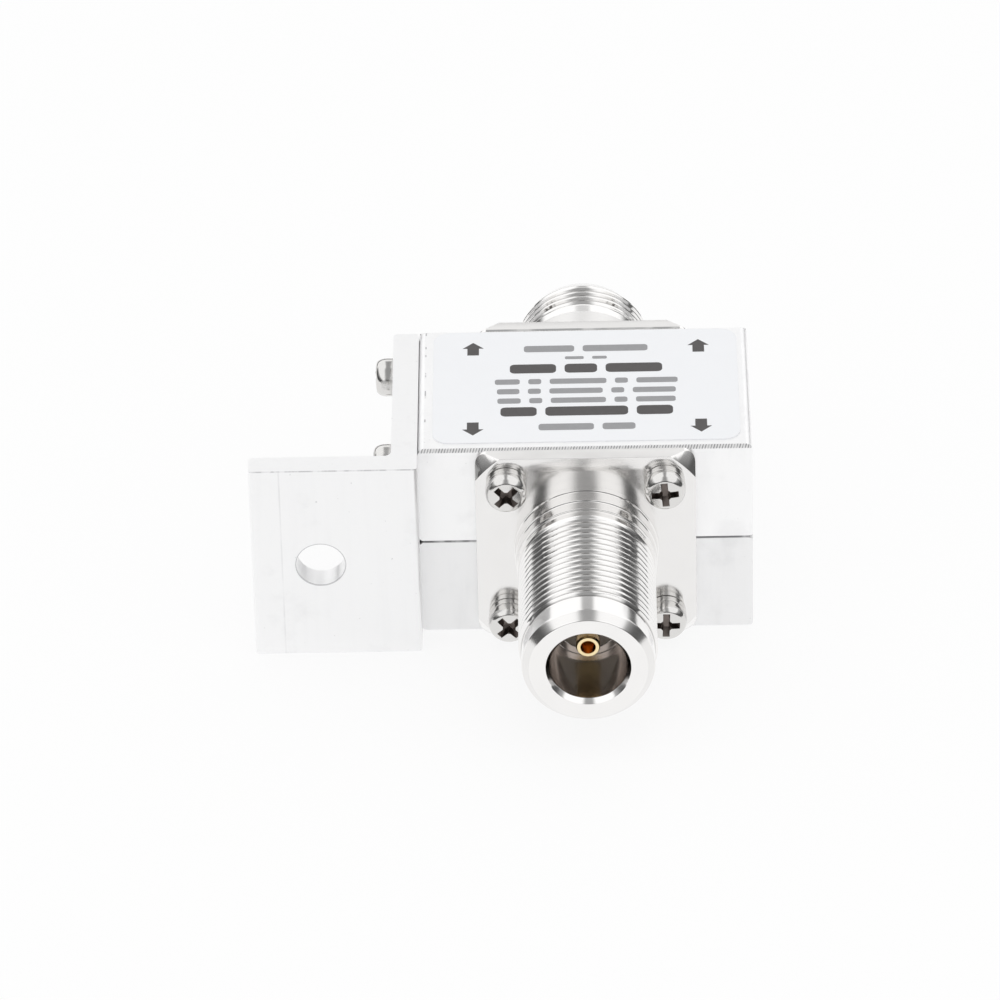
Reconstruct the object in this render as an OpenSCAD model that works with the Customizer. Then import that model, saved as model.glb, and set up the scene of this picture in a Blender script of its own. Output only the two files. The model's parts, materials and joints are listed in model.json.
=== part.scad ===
// Coaxial surge arrestor: a split block housing with a type N jack on each face,
// a series capacitor and a gas tube inside, and an angle bracket on its left side.
// +Z is up, +Y points to the equipment side, and the origin is the middle of the housing's bottom.

/* [Housing] */
// Width of the housing
housing_w = 38.6; // [36:0.1:48]
// Depth of the housing from jack face to jack face
housing_d = 25.4; // [24.6:0.1:36]
// Height of each housing half
half_h = 12.7; // [12.6:0.1:18]
// Radius of the long outer edges
edge_r = 0.8; // [0.2:0.1:2]
// Chamfer of the outer edges on the jack faces
face_chamfer = 0.35; // [0.1:0.05:1]
// Chamfer of the seam's edges on the jack faces
seam_chamfer = 0.15; // [0.05:0.05:0.4]
// Chamfer of the seam's edges on the sides
seam_side_chamfer = 0.4; // [0.1:0.05:0.8]
// Radius of the cavity along the coaxial axis
cavity_r = 7.5; // [6.6:0.1:8]
// Thickness of the end walls
end_wall = 3; // [2:0.1:4]
// Thickness of the floor under the gas tube
floor_t = 2; // [1.2:0.1:2.6]

/* [Jack flange] */
// Width of the flange
flange_w = 25.4; // [24.5:0.1:28]
// Height of the flange
flange_h = 25.1; // [24.5:0.1:25.2]
// Thickness of the flange
flange_t = 1.9; // [1.2:0.1:3]
// Radius of the flange's corners at the housing
flange_corner_r = 1.5; // [0.5:0.1:2.5]
// Cut across each corner on the flange's outer face, where it is turned to a cone
corner_cut = 2.9; // [1.6:0.1:3.4]
// Slope of the turned corners, from the coaxial axis
corner_slope = 40; // [30:1:55]
// Spacing of the flange screws, across and up
screw_spacing = 18.26; // [18:0.02:18.6]

/* [Jack barrel] */
// Radius of the thread over its crests
thread_r = 7.9375; // [7.5:0.0125:8.1]
// Radius of the smooth collar next to the flange
collar_r = 8.27; // [8.2:0.01:8.6]
// Radius of the plain shoulder in front of the collar
shoulder_r = 8.2; // [8.12:0.01:8.6]
// Length of the plain shoulder
shoulder_len = 1.5; // [0.8:0.1:2]
// Radius of the relief behind the thread
relief_r = 7.6; // [7:0.1:7.8]
// Length of the relief behind the thread
relief_len = 0.8; // [0.5:0.1:1.6]
// Radius of the plain nose in front of the thread
nose_r = 7.6; // [7:0.1:7.8]
// Length of the plain nose
nose_len = 2.7; // [1:0.1:3.2]
// Length of the taper from the nose to the lip
taper_len = 0.9; // [0.5:0.1:1.5]
// Outer radius of the flat lip
lip_r = 6.65; // [6:0.05:6.9]
// Radius of the socket bore
bore_r = 4.42; // [4.3:0.02:4.8]
// Widening of the bore at its mouth
mouth_chamfer = 0.48; // [0.2:0.02:0.7]
// Depth of the socket from the lip to the neck of the bore
socket_depth = 9.1; // [8:0.1:10]
// Length of the neck between the socket and the insulator's seat
neck_len = 4.5; // [2:0.1:5]
// Radius of the spigot that locates the jack in the end wall
spigot_r = 5.5; // [5:0.1:6]
// Length of the antenna jack from the housing to its lip
antenna_reach = 26.1; // [24:0.1:32]
// Length of the antenna jack's collar from the housing
antenna_collar = 3.4; // [3.1:0.1:5]
// Length of the equipment jack from the housing to its lip
equipment_reach = 19.6; // [18.5:0.1:26]
// Length of the equipment jack's collar from the housing
equipment_collar = 10.9; // [8:0.1:11.5]

/* [Coaxial line] */
// Radius of the inner conductor
contact_r = 1.4; // [1.3:0.05:1.6]
// Narrowing of the contact towards its tip
tip_taper = 0.15; // [0.1:0.05:0.3]
// Radius of the socket hole in the contact
pin_hole_r = 0.87; // [0.7:0.01:0.95]
// Depth of the socket hole in the contact
pin_hole_depth = 5; // [3:0.1:6]
// Depth of the drill point at the end of that hole
drill_point = 0.45; // [0.2:0.05:0.6]
// Setback of the contact's tip from the lip
tip_setback = 4.3; // [3.5:0.1:5]
// Radius of the stop behind each insulator
stop_r = 2.4; // [2:0.1:3]
// Thickness of the stop behind each insulator
stop_t = 0.8; // [0.5:0.1:1.2]
// Radius of the insulator
insulator_r = 4; // [3.8:0.05:4.1]
// Radius of the insulator's front end
insulator_nose_r = 3.5; // [3.2:0.05:3.6]
// Length of the insulator's front end, which sits in the neck
insulator_nose_len = 1.5; // [1:0.1:3]

/* [Capacitor] */
// Gap from the gas tube's lead to the capacitor's hub
lead_gap = 2.3; // [1:0.1:3]
// Thickness of each plate
plate_t = 1.2; // [0.8:0.1:1.4]
// Thickness of the sheet between the plates
sheet_t = 0.4; // [0.2:0.05:0.8]
// Air gap from the plates to the cavity wall
plate_gap = 2; // [1.2:0.1:2.5]
// Overlap of the sheet past the plates
sheet_overlap = 0.6; // [0.2:0.1:0.9]
// Outer radius of the hub on each plate
hub_r = 2.6; // [2.2:0.1:3]
// Length of the hub on each plate
hub_len = 2; // [1.2:0.1:2.2]

/* [Gas tube] */
// Radius of the gas tube
tube_r = 4; // [3.6:0.1:4.1]
// Height of the ceramic ring
ceramic_h = 4.4; // [4:0.1:4.8]
// Wall of the ceramic ring
ceramic_wall = 1.1; // [0.8:0.1:1.3]
// Thickness of each electrode's rim
rim_t = 0.8; // [0.5:0.1:1]
// Gap between the electrodes
spark_gap = 1; // [0.6:0.1:1.6]
// Gap from the electrodes' bosses to the ceramic
boss_gap = 0.7; // [0.4:0.1:1]
// Distance of the gas tube's axis from the antenna end wall
tube_inset = 5.4; // [5:0.1:5.6]
// Width of the lead along the conductor
lead_w = 3; // [2:0.1:4]
// Radius of the lead's post
lead_post_r = 1.3; // [1:0.1:1.8]

/* [Screws] */
// Radius of the screw shanks
shank_r = 1.42; // [1.2:0.02:1.5]
// Depth of the screws in the housing
screw_depth = 6; // [4:0.1:6.5]
// Radius of the flange screw heads
flange_head_r = 2.4; // [2.2:0.05:2.6]
// Height of the antenna side's flange screw heads
antenna_head_h = 1.9; // [1.4:0.1:2.4]
// Height of the equipment side's flange screw heads
equipment_head_h = 1.5; // [1.4:0.1:2.4]
// Radius of the bracket screw heads
bracket_head_r = 2.25; // [2.1:0.05:2.6]
// Height of the bracket screw heads
bracket_head_h = 2.2; // [1.4:0.1:2.4]
// Radius of the rolled edge of the screw heads
head_roll = 0.8; // [0.4:0.1:0.8]
// Thickness of the lock washers
washer_t = 1; // [0.5:0.1:1.2]
// Outer radius of the lock washers
washer_r = 2.35; // [2.1:0.05:2.6]
// Width of the split in the lock washers
washer_split = 0.5; // [0.3:0.1:0.8]
// Depth of the cross recess
recess_depth = 1; // [0.6:0.1:1.2]
// Length of the cross recess
recess_len = 3.2; // [2:0.1:3.4]
// Width of each slot of the cross recess
recess_w = 0.8; // [0.5:0.05:1]

/* [Bracket] */
// Thickness of the bracket
bracket_t = 3; // [2:0.1:3.4]
// Width of the front leg, corner included
front_leg_w = 19.4; // [16:0.1:30]
// Distance of the front leg's outer face ahead of the housing
front_leg_out = 3.9; // [3.6:0.1:8]
// Setback of the side leg's end from the equipment face
bracket_setback = 0.5; // [0.1:0.1:1.5]
// Shift of the bracket screws towards the antenna face
bracket_screw_shift = 0.7; // [0.1:0.1:1]
// Radius of the bracket's outer edges
bracket_edge_r = 0.5; // [0.2:0.1:0.9]
// Radius of the bracket's inner corner
bracket_fillet = 0.8; // [0.3:0.1:1.2]
// Radius of the mounting hole
mount_hole_r = 2.85; // [2:0.05:4]
// Distance of the mounting hole from the front leg's free edge
mount_hole_inset = 7.95; // [6:0.05:8.5]
// Height of the mounting hole
mount_hole_z = 12.4; // [8:0.1:18]

/* [Label] */
// Margin of the label at the bracket's side
label_left = 1.75; // [0.85:0.05:4]
// Margin of the label at the far side
label_right = 1.3; // [0.85:0.05:4]
// Margin of the label at the antenna face
label_front = 1.3; // [1:0.05:5]
// Margin of the label at the equipment face
label_rear = 0.6; // [0.4:0.05:5]
// Radius of the label's corners
label_corner = 2; // [0.5:0.1:4]
// Thickness of the label
label_t = 0.12; // [0.08:0.01:0.3]

/* [Clearances] */
// Clearance of a turned piece in its bore
fit_clear = 0.05; // [0.02:0.01:0.1]
// Clearance of a screw in a tapped hole
tap_clear = 0.03; // [0.02:0.01:0.06]
// Clearance of a screw in a through hole
through_clear = 0.23; // [0.1:0.01:0.3]
// Clearance of the gas tube in its well
well_clear = 0.1; // [0.05:0.01:0.15]
// Room past the tip of a screw
tip_room = 0.6; // [0.3:0.1:1]

/* [Hidden] */
$fn = 64;

housing_h = 2 * half_h;
axis_z = half_h;
front_y = -housing_d / 2;
rear_y = housing_d / 2;
side_x = -housing_w / 2;
cavity_len = housing_d - 2 * end_wall;

tube_y = front_y + end_wall + tube_inset;
antenna_plate_y = tube_y + lead_w / 2 + lead_gap + hub_len;
capacitor_y = antenna_plate_y + plate_t + sheet_t / 2;
equipment_plate_y = capacitor_y + sheet_t / 2 + plate_t;
plate_r = cavity_r - plate_gap;
sheet_r = plate_r + sheet_overlap;

ceramic_z = floor_t + rim_t;
line_rim_z = ceramic_z + ceramic_h;
lead_z = line_rim_z + rim_t;
boss_r = tube_r - ceramic_wall - boss_gap;
boss_h = (ceramic_h - spark_gap) / 2;

// Run of a cut past the face where it comes out
overcut = 1;
// Turn of the cross recess in each of four screws, as they were left when tightened
recess_turns = [45, 4, 42, 88];
// The split of each lock washer, turned to a different side
split_turns = [200, 75, 310, 140];

// Places children with +Z pointing out of the antenna face, on the coaxial axis
module on_antenna_face() {
    translate([0, front_y, axis_z]) rotate([90, 0, 0]) children();
}

// Places children with +Z pointing out of the equipment face, on the coaxial axis
module on_equipment_face() {
    translate([0, rear_y, axis_z]) rotate([90, 0, 180]) children();
}

// Places children with +Z pointing out of the housing's left side, amid the bracket's screws
module on_bracket_side() {
    translate([side_x, -bracket_screw_shift, half_h]) rotate([90, 0, -90]) children();
}

// Repeats children at the four corners of the screw square, with $turn as the corner's number
module screw_square() {
    half = screw_spacing / 2;
    corners = [[-half, half], [half, half], [-half, -half], [half, -half]];
    for ($turn = [0:3]) translate(corners[$turn]) children();
}

// Rectangle with round corners, centred
module round_rect(w, h, r) {
    square([w - 2 * r, h], center = true);
    square([w, h - 2 * r], center = true);
    for (x = [-1, 1], y = [-1, 1]) translate([x * (w / 2 - r), y * (h / 2 - r)]) circle(r);
}

// Housing half seen along the coaxial axis, standing on the seam
module half_front_outline() {
    side = housing_w / 2;
    polygon([
        [-side + seam_side_chamfer, 0], [side - seam_side_chamfer, 0], [side, seam_side_chamfer],
        [side, half_h - edge_r], [-side, half_h - edge_r], [-side, seam_side_chamfer]
    ]);
    translate([-side + edge_r, edge_r]) square([housing_w - 2 * edge_r, half_h - edge_r]);
    for (x = [-1, 1]) translate([x * (side - edge_r), half_h - edge_r]) circle(edge_r);
}

// Housing half seen from the side, standing on the seam
module half_side_outline() {
    face = housing_d / 2;
    polygon([
        [-face + seam_chamfer, 0], [face - seam_chamfer, 0], [face, seam_chamfer],
        [face, half_h - face_chamfer], [face - face_chamfer, half_h],
        [-face + face_chamfer, half_h], [-face, half_h - face_chamfer], [-face, seam_chamfer]
    ]);
}

// Solid block of one housing half, standing on the seam
module half_block() {
    intersection() {
        rotate([90, 0, 0]) linear_extrude(housing_d, center = true) half_front_outline();
        rotate([90, 0, 90]) linear_extrude(housing_w, center = true) half_side_outline();
    }
}

// Tapped hole for a screw that enters the local face
module tapped_hole() {
    depth = screw_depth + tip_room;
    translate([0, 0, -depth]) cylinder(r = shank_r + tap_clear, h = depth + overcut);
}

// Everything cut from both housing halves
module housing_cuts() {
    translate([0, 0, axis_z]) rotate([90, 0, 0]) cylinder(r = cavity_r, h = cavity_len, center = true);
    translate([0, 0, axis_z]) rotate([90, 0, 0])
        cylinder(r = spigot_r + fit_clear, h = housing_d + 2 * overcut, center = true);
    on_antenna_face() screw_square() tapped_hole();
    on_equipment_face() screw_square() tapped_hole();
    on_bracket_side() screw_square() tapped_hole();
}

module upper_housing() {
    color("gainsboro") difference() {
        translate([0, 0, half_h]) half_block();
        housing_cuts();
    }
}

module lower_housing() {
    color("gainsboro") difference() {
        translate([0, 0, half_h]) mirror([0, 0, 1]) half_block();
        housing_cuts();
        translate([0, tube_y, floor_t]) cylinder(r = tube_r + well_clear, h = half_h);
    }
}

// Flange with round corners that are turned to a cone, lying on the housing's face
module flange_plate() {
    turn_r = norm([flange_w / 2, flange_h / 2 - corner_cut]);
    rise = tan(corner_slope);
    intersection() {
        linear_extrude(flange_t) round_rect(flange_w, flange_h, flange_corner_r);
        translate([0, 0, -overcut]) cylinder(
            r1 = turn_r + (flange_t + overcut) * rise, r2 = turn_r - overcut * rise, h = flange_t + 2 * overcut
        );
    }
}

// Turned outside of a jack, from its spigot to its lip
module barrel(reach, collar) {
    relief_start = collar + shoulder_len;
    thread_start = relief_start + relief_len;
    nose_end = reach - taper_len;
    thread_end = nose_end - nose_len;
    rotate_extrude() polygon([
        [0, -end_wall], [spigot_r, -end_wall], [spigot_r, 0], [collar_r, 0], [collar_r, collar],
        [shoulder_r, collar], [shoulder_r, relief_start], [relief_r, relief_start],
        [relief_r, thread_start], [thread_r, thread_start], [thread_r, thread_end],
        [nose_r, thread_end], [nose_r, nose_end], [lip_r, reach], [0, reach]
    ]);
}

// Stepped bore of a jack: socket, neck and insulator seat
module jack_bore(reach) {
    socket_end = reach - socket_depth;
    seat_end = socket_end - neck_len;
    mouth_r = bore_r + mouth_chamfer;
    nose_bore = insulator_nose_r + fit_clear;
    seat_bore = insulator_r + fit_clear;
    rotate_extrude() polygon([
        [0, -end_wall - overcut], [seat_bore, -end_wall - overcut], [seat_bore, seat_end],
        [nose_bore, seat_end], [nose_bore, socket_end], [bore_r, socket_end],
        [bore_r, reach - mouth_chamfer], [mouth_r, reach], [mouth_r, reach + overcut], [0, reach + overcut]
    ]);
}

// Whole jack with its flange on the local plane
module jack(reach, collar) {
    difference() {
        union() {
            flange_plate();
            barrel(reach, collar);
        }
        jack_bore(reach);
        screw_square() translate([0, 0, -overcut])
            cylinder(r = shank_r + through_clear, h = flange_t + 2 * overcut);
    }
}

// Insulator of a jack, stepped to seat against the neck of its bore
module insulator(reach) {
    seat_end = reach - socket_depth - neck_len;
    nose_end = seat_end + insulator_nose_len;
    hole = contact_r + fit_clear;
    rotate_extrude() polygon([
        [hole, -end_wall], [insulator_r, -end_wall], [insulator_r, seat_end],
        [insulator_nose_r, seat_end], [insulator_nose_r, nose_end], [hole, nose_end]
    ]);
}

// Inner conductor of a jack, from its socket tip to the plate at the given depth in the housing
module contact(reach, plate_depth) {
    tip = reach - tip_setback;
    hole_end = tip - pin_hole_depth;
    tip_r = contact_r - tip_taper;
    stop_start = -end_wall - stop_t;
    rotate_extrude() polygon([
        [0, -plate_depth], [contact_r, -plate_depth], [contact_r, stop_start], [stop_r, stop_start],
        [stop_r, -end_wall], [contact_r, -end_wall], [contact_r, tip - 2 * tip_taper], [tip_r, tip],
        [pin_hole_r, tip], [pin_hole_r, hole_end], [0, hole_end - drill_point]
    ]);
}

module antenna_jack() {
    color("silver") on_antenna_face() jack(antenna_reach, antenna_collar);
}

module equipment_jack() {
    color("silver") on_equipment_face() jack(equipment_reach, equipment_collar);
}

module antenna_insulator() {
    color("white") on_antenna_face() insulator(antenna_reach);
}

module equipment_insulator() {
    color("white") on_equipment_face() insulator(equipment_reach);
}

module antenna_contact() {
    color("gold") on_antenna_face() contact(antenna_reach, antenna_plate_y - front_y);
}

module equipment_contact() {
    color("gold") on_equipment_face() contact(equipment_reach, rear_y - equipment_plate_y);
}

// Round shape of a pan head with a rolled edge
module head_outline(head_r, head_h) {
    square([head_r, head_h - head_roll]);
    square([head_r - head_roll, head_h]);
    intersection() {
        translate([head_r - head_roll, head_h - head_roll]) circle(head_roll);
        square([head_r, head_h]);
    }
}

// Pan head screw with a cross recess, its head seated on the given height above the local face
module pan_screw(head_r, head_h, seat, turn) {
    difference() {
        union() {
            translate([0, 0, seat]) rotate_extrude() head_outline(head_r, head_h);
            translate([0, 0, -screw_depth]) cylinder(r = shank_r, h = screw_depth + seat);
        }
        translate([0, 0, seat + head_h - recess_depth]) rotate(turn) {
            translate([-recess_len / 2, -recess_w / 2, 0])
                cube([recess_len, recess_w, recess_depth + overcut]);
            translate([-recess_w / 2, -recess_len / 2, 0])
                cube([recess_w, recess_len, recess_depth + overcut]);
        }
    }
}

// Split lock washer, lying on the local plane
module lock_washer(turn) {
    difference() {
        cylinder(r = washer_r, h = washer_t);
        translate([0, 0, -overcut]) cylinder(r = shank_r + fit_clear, h = washer_t + 2 * overcut);
        rotate(turn) translate([0, -washer_split / 2, -overcut])
            cube([washer_r + overcut, washer_split, washer_t + 2 * overcut]);
    }
}

module antenna_flange_screws() {
    color("lightgray") on_antenna_face() screw_square()
        pan_screw(flange_head_r, antenna_head_h, flange_t + washer_t, recess_turns[$turn]);
}

module antenna_lock_washers() {
    color("darkgray") on_antenna_face() screw_square()
        translate([0, 0, flange_t]) lock_washer(split_turns[$turn]);
}

module equipment_flange_screws() {
    color("lightgray") on_equipment_face() screw_square()
        pan_screw(flange_head_r, equipment_head_h, flange_t, recess_turns[$turn]);
}

module bracket_screws() {
    color("lightgray") on_bracket_side() screw_square()
        pan_screw(bracket_head_r, bracket_head_h, bracket_t, recess_turns[$turn]);
}

// Angle of the bracket seen from above, with its outer edges rounded and its inner corner filleted
module bracket_outline() {
    front = front_y - front_leg_out;
    back = rear_y - bracket_setback;
    inner_x = side_x - bracket_t;
    inner_y = front + bracket_t;
    f = bracket_fillet;
    translate([side_x - front_leg_w / 2, front + bracket_t / 2])
        round_rect(front_leg_w, bracket_t, bracket_edge_r);
    translate([side_x - bracket_t / 2, (front + back) / 2])
        round_rect(bracket_t, back - front, bracket_edge_r);
    difference() {
        translate([inner_x - f, inner_y]) square(f);
        translate([inner_x - f, inner_y + f]) circle(f);
    }
}

module mounting_bracket() {
    hole_x = side_x - front_leg_w + mount_hole_inset;
    color("whitesmoke") difference() {
        linear_extrude(housing_h) bracket_outline();
        translate([hole_x, front_y, mount_hole_z]) rotate([90, 0, 0])
            cylinder(r = mount_hole_r, h = front_leg_out + overcut);
        on_bracket_side() screw_square()
            translate([0, 0, -overcut]) cylinder(r = shank_r + through_clear, h = bracket_t + 2 * overcut);
    }
}

// Capacitor plate whose hub takes the end of a conductor, facing the sheet at local height zero
module capacitor_plate() {
    difference() {
        union() {
            translate([0, 0, -plate_t]) cylinder(r = plate_r, h = plate_t);
            translate([0, 0, -plate_t - hub_len]) cylinder(r = hub_r, h = hub_len);
        }
        translate([0, 0, -plate_t - hub_len - overcut])
            cylinder(r = contact_r + fit_clear, h = hub_len + overcut);
    }
}

module antenna_capacitor_plate() {
    color("goldenrod") translate([0, capacitor_y - sheet_t / 2, axis_z]) rotate([-90, 0, 0])
        capacitor_plate();
}

module equipment_capacitor_plate() {
    color("goldenrod") translate([0, capacitor_y + sheet_t / 2, axis_z]) rotate([90, 0, 0])
        capacitor_plate();
}

module capacitor_sheet() {
    color("ivory") translate([0, capacitor_y, axis_z]) rotate([90, 0, 0])
        cylinder(r = sheet_r, h = sheet_t, center = true);
}

module gas_tube_ceramic() {
    color("linen") translate([0, tube_y, ceramic_z]) difference() {
        cylinder(r = tube_r, h = ceramic_h);
        translate([0, 0, -overcut]) cylinder(r = tube_r - ceramic_wall, h = ceramic_h + 2 * overcut);
    }
}

// Electrode of the gas tube: a rim that closes the ceramic and a boss that reaches into it
module electrode() {
    cylinder(r = tube_r, h = rim_t);
    translate([0, 0, rim_t]) cylinder(r = boss_r, h = boss_h);
}

module gas_tube_ground_electrode() {
    color("silver") translate([0, tube_y, floor_t]) electrode();
}

module gas_tube_line_electrode() {
    color("silver") translate([0, tube_y, lead_z]) mirror([0, 0, 1]) electrode();
}

module gas_tube_lead() {
    color("peru") translate([0, tube_y, 0]) difference() {
        union() {
            translate([0, 0, lead_z]) cylinder(r = lead_post_r, h = axis_z - lead_z);
            translate([0, 0, axis_z]) rotate([90, 0, 0]) cylinder(r = hub_r, h = lead_w, center = true);
        }
        translate([0, 0, axis_z]) rotate([90, 0, 0])
            cylinder(r = contact_r + fit_clear, h = lead_w + 2 * overcut, center = true);
    }
}

module label() {
    w = housing_w - label_left - label_right;
    d = housing_d - label_front - label_rear;
    color("aliceblue") translate([(label_left - label_right) / 2, (label_front - label_rear) / 2, housing_h])
        linear_extrude(label_t) round_rect(w, d, label_corner);
}

upper_housing();
lower_housing();
mounting_bracket();
bracket_screws();
antenna_jack();
antenna_insulator();
antenna_contact();
antenna_flange_screws();
antenna_lock_washers();
equipment_jack();
equipment_insulator();
equipment_contact();
equipment_flange_screws();
antenna_capacitor_plate();
capacitor_sheet();
equipment_capacitor_plate();
gas_tube_ceramic();
gas_tube_ground_electrode();
gas_tube_line_electrode();
gas_tube_lead();
label();
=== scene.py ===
import json
import math
import bmesh
import bpy
from mathutils import Matrix, Vector


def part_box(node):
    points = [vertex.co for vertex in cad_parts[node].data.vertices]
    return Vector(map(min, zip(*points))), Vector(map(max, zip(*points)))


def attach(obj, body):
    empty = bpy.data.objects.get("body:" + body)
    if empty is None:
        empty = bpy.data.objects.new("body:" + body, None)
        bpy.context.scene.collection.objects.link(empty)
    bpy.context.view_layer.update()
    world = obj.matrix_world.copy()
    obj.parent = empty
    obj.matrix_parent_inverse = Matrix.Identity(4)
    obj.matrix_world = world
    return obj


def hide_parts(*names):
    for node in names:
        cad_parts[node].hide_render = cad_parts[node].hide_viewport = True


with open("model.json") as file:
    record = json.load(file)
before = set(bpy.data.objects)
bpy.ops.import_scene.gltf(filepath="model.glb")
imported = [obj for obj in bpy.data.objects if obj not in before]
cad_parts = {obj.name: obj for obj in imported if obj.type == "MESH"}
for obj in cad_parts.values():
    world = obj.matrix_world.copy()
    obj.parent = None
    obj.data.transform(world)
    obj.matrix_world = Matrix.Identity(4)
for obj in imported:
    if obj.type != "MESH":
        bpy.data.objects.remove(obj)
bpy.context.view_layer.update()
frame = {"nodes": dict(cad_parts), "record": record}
mm = 0.001
noMove = Matrix.Identity(4)

# places that every piece is measured from
housingLow, housingHigh = [Vector(c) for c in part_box("upper_housing")]
jackLow, jackHigh = [Vector(c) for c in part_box("antenna_jack")]
bracketLow, bracketHigh = [Vector(c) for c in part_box("mounting_bracket")]
sideScrewsLow, sideScrewsHigh = [Vector(c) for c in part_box("bracket_screws")]
bracketHole = [m["pos_m"] for m in frame["record"]["mounts"] if m["name"] == "bracket_hole"][0]
frontY = housingLow.y
rearY = housingHigh.y
topZ = housingHigh.z
seamZ = housingLow.z
axisZ = (jackLow.z + jackHigh.z) / 2
sideScrewsY = (sideScrewsLow.y + sideScrewsHigh.y) / 2
faceFront = Matrix.Rotation(math.pi / 2, 4, "X")
antennaFace = Matrix.Translation((0, frontY, axisZ)) @ faceFront
equipmentFace = Matrix.Translation((0, rearY, axisZ)) @ Matrix.Rotation(math.pi, 4, "Z") @ faceFront
bracketSide = Matrix.Translation((housingLow.x, sideScrewsY, seamZ)) \
    @ Matrix.Rotation(-math.pi / 2, 4, "Z") @ faceFront
print("frame loaded, coaxial axis at", round(axisZ / mm, 2), "mm")

evenly = (1, 1, 1)
fadeOff = (1.0, 0.0)


# small tools for node trees
def startMaterial(name, sockets):
    mat = bpy.data.materials.new(name)
    mat.use_nodes = True
    tree = mat.node_tree
    shader = tree.nodes["Principled BSDF"]
    for socket, value in sockets.items():
        shader.inputs[socket].default_value = value
    return mat, tree, shader


def addNode(tree, kind, settings=None, inputs=None):
    node = tree.nodes.new(kind)
    for key, value in (settings or {}).items():
        setattr(node, key, value)
    for key, value in (inputs or {}).items():
        if isinstance(value, bpy.types.NodeSocket):
            tree.links.new(value, node.inputs[key])
        else:
            node.inputs[key].default_value = value
    return node


def addMath(tree, operation, first, second=0.0, clamp=False):
    return addNode(tree, "ShaderNodeMath", {"operation": operation, "use_clamp": clamp},
                   {0: first, 1: second}).outputs[0]


def addProduct(tree, first, *others):
    for other in others:
        first = addMath(tree, "MULTIPLY", first, other)
    return first


def addNoise(tree, stretch, scale, detail=3.0, rough=0.5):
    coords = addNode(tree, "ShaderNodeTexCoord").outputs["Object"]
    mapping = addNode(tree, "ShaderNodeMapping", None, {"Vector": coords, "Scale": stretch})
    return addNode(tree, "ShaderNodeTexNoise", None, {
        "Vector": mapping.outputs["Vector"], "Scale": scale, "Detail": detail,
        "Roughness": rough}).outputs[0]


def addRange(tree, value, limits, levels=(0.0, 1.0)):
    return addNode(tree, "ShaderNodeMapRange", {"interpolation_type": "SMOOTHSTEP"}, {
        0: value, 1: limits[0], 2: limits[1], 3: levels[0], 4: levels[1]}).outputs[0]


def addMix(tree, factor, first, second):
    mix = addNode(tree, "ShaderNodeMix", {"data_type": "RGBA"}, {0: factor})
    for index, value in ((6, first), (7, second)):
        if isinstance(value, bpy.types.NodeSocket):
            tree.links.new(value, mix.inputs[index])
        else:
            mix.inputs[index].default_value = (*value, 1)
    return mix.outputs[2]


def addBump(tree, shader, height, strength, distance, after=None):
    bump = addNode(tree, "ShaderNodeBump", None, {
        "Strength": strength, "Distance": distance, "Height": height})
    if after:
        tree.links.new(after, bump.inputs["Normal"])
    tree.links.new(bump.outputs[0], shader.inputs["Normal"])
    return bump.outputs[0]


# x, y and z of a place or a direction in the part's frame
def addParts(tree, kind="Object"):
    coords = addNode(tree, "ShaderNodeTexCoord")
    return addNode(tree, "ShaderNodeSeparateXYZ", None, {0: coords.outputs[kind]}).outputs


def addAway(tree, value, middle):
    return addMath(tree, "ABSOLUTE", addMath(tree, "SUBTRACT", value, middle))


# distance from a line along Y
def addRadius(tree, lineX, lineZ):
    place = addParts(tree)
    across = addMath(tree, "SUBTRACT", place["X"], lineX)
    rise = addMath(tree, "SUBTRACT", place["Z"], lineZ)
    squares = addMath(tree, "ADD", addProduct(tree, across, across), addProduct(tree, rise, rise))
    return addMath(tree, "SQRT", squares)


# satin aluminium, with handling marks, drawn streaks and a fine blasted grain
satinAluminium = {
    "clean": (0.985, 0.985, 0.988), "marked": (0.89, 0.89, 0.895), "metallic": 0.8,
    "rough": (0.31, 0.41), "wornLimits": (0.0, 0.8), "topRough": 0.14, "topLimits": (0.7, 0.95),
    "markScale": 210.0, "markLimits": (0.52, 0.74), "markShare": 0.45,
    "streakScale": 60.0, "streakLimits": (0.45, 0.75), "streakBump": 0.12, "streakDepth": 0.02 * mm,
    "grainScale": 9000.0, "grainBump": 0.35, "grainDepth": 0.012 * mm,
}


def makeSatinAluminium(name, streakStretch, streakShare, level, details):
    s = satinAluminium
    mat, tree, shader = startMaterial(name, {"Metallic": s["metallic"]})
    marks = addRange(tree, addNoise(tree, evenly, s["markScale"], 4.0, 0.62), s["markLimits"])
    drawn = addNoise(tree, streakStretch, s["streakScale"], 4.0, 0.6)
    streaks = addRange(tree, drawn, s["streakLimits"])
    worn = addMath(tree, "ADD", addProduct(tree, marks, s["markShare"]),
                   addProduct(tree, streaks, streakShare))
    colour = addMix(tree, worn, [c * level for c in s["clean"]], [c * level for c in s["marked"]])
    for addDetail in details:
        mask, shade = addDetail(tree)
        colour = addMix(tree, mask, colour, shade)
    upward = addParts(tree, "Normal")["Z"]
    rough = addMath(tree, "ADD", addRange(tree, worn, s["wornLimits"], s["rough"]),
                    addRange(tree, upward, s["topLimits"], (0.0, s["topRough"])))
    tree.links.new(colour, shader.inputs["Base Color"])
    tree.links.new(rough, shader.inputs["Roughness"])
    grain = addNoise(tree, evenly, s["grainScale"], 2.0)
    grained = addBump(tree, shader, grain, s["grainBump"], s["grainDepth"])
    addBump(tree, shader, streaks, s["streakBump"], s["streakDepth"], grained)
    return mat


# cutter marks across the chamfer at the housing's top edges
chamferTicks = {
    "pitch": 0.33 * mm, "band": 0.37 * mm, "lean": 0.45, "uneven": 2.2, "unevenScale": 1300.0,
    "limits": (0.1, 1.0), "dark": (0.40, 0.40, 0.41), "light": (0.98, 0.98, 0.98),
}


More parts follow.
